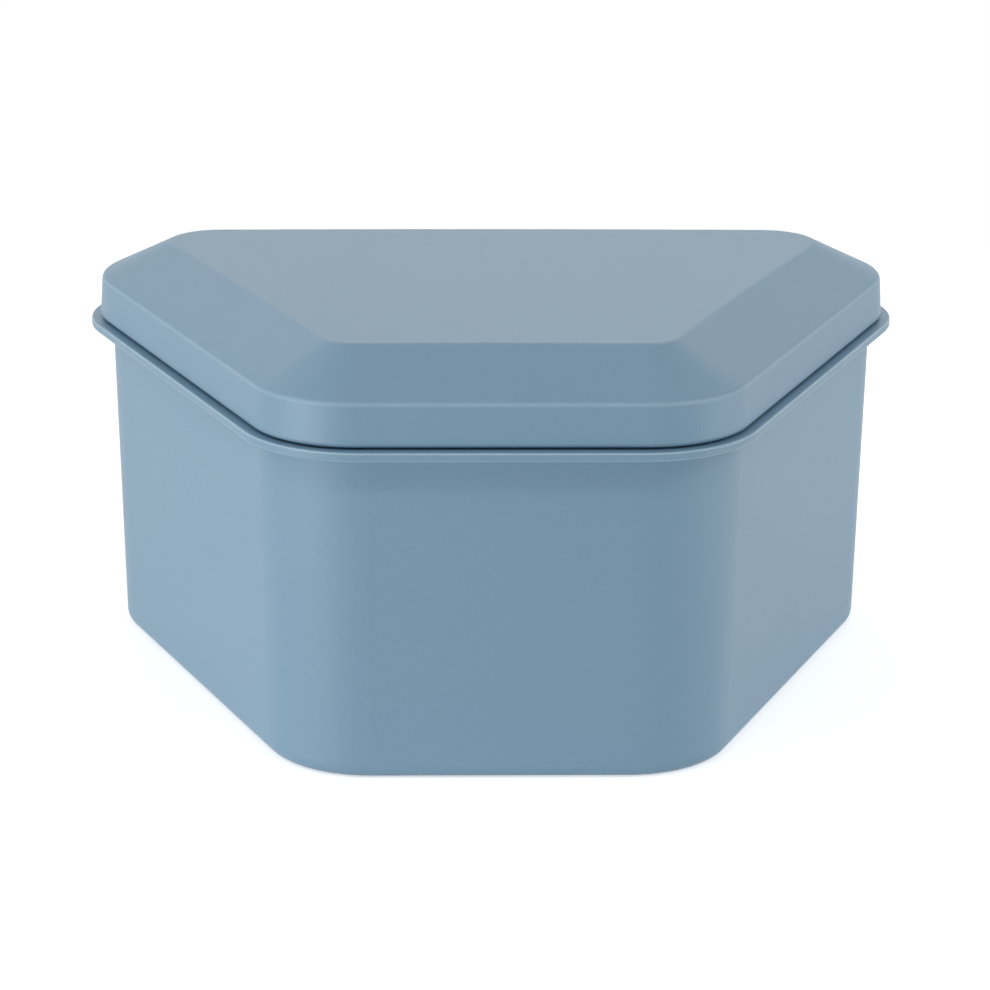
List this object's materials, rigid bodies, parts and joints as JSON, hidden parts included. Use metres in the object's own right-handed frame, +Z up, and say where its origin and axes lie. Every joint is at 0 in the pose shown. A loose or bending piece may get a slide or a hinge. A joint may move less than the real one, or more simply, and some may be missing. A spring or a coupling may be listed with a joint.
{
  "type": "denture case",
  "caption": "Tapered four-sided denture case with a flanged box, a domed lid on rear hinges and a lift-out strainer basket.",
  "frame": {"origin": "centre of the case's footprint, hinges included, on the table", "axes": "+Z up, the narrow front faces -Y, the hinged wide back faces +Y, +X to the right seen from the front"},
  "size_m": [0.1, 0.0806, 0.0498],
  "materials": {
    "case_plastic": "fine-grained moulded matte, dusty blue",
    "lid_plastic": "fine-grained moulded matte, dusty blue",
    "pin_steel": "drawn stainless wire",
    "basket_plastic": "satin moulded white"
  },
  "bodies": {
    "box": {"base_box": "case_plastic", "left_hinge_pin": "pin_steel", "right_hinge_pin": "pin_steel"},
    "lid": {"lid": "lid_plastic"},
    "basket": {"strainer_basket": "basket_plastic"}
  },
  "joints": [
    {"name": "lid_hinge", "type": "hinge", "parent": "box", "child": "lid", "pos_m": [0, 0.03669, 0.0415], "axis": [-1, 0, 0], "range_deg": [0, 110]},
    {"name": "basket_lift", "type": "slide", "parent": "box", "child": "basket", "axis": [0, 0, 1], "range_m": [0, 0.004]}
  ]
}
